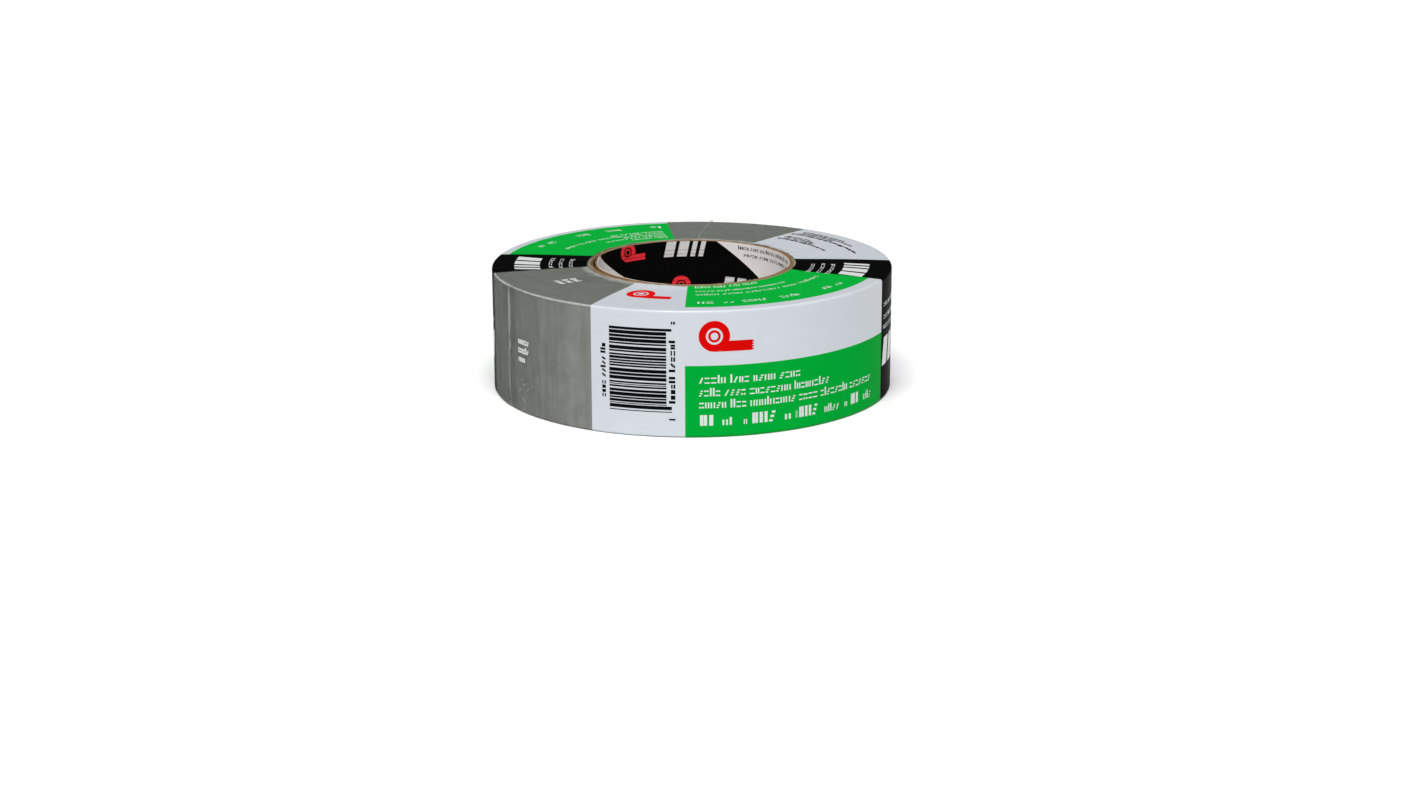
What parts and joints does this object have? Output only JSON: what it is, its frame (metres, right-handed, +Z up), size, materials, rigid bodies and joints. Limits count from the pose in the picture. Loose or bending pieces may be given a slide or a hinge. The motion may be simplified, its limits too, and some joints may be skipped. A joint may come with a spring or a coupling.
{
  "type": "duct tape roll",
  "caption": "Shrink-wrapped roll of cloth-backed adhesive tape on a spiral-wound paperboard tube, whose bore fits a standard tape hub.",
  "frame": {"origin": "centre of the roll's lower face, on the surface it lies on", "axes": "+Z up along the roll's axis, out of the tube; -Y towards the front of the printed label, where the barcode-like panel meets the green one"},
  "size_m": [0.1576, 0.1576, 0.0488],
  "materials": {
    "liner_paper": "matte",
    "tube_board": "matte",
    "tape_adhesive": "matte",
    "tape_cloth": "matte",
    "tape_backing": "satin",
    "wound_tape": "matte",
    "printed_film": "gloss"
  },
  "bodies": {
    "root": {"core_liner": "liner_paper", "core_ply_1": "tube_board", "core_ply_2": "tube_board", "core_ply_3": "tube_board", "core_ply_4": "tube_board", "core_ply_5": "tube_board", "first_turn_adhesive": "tape_adhesive", "first_turn_cloth": "tape_cloth", "first_turn_backing": "tape_backing", "last_turn_adhesive": "tape_adhesive", "last_turn_cloth": "tape_cloth", "last_turn_backing": "tape_backing", "tape_winding": "wound_tape", "shrink_sleeve": "printed_film"}
  },
  "joints": []
}
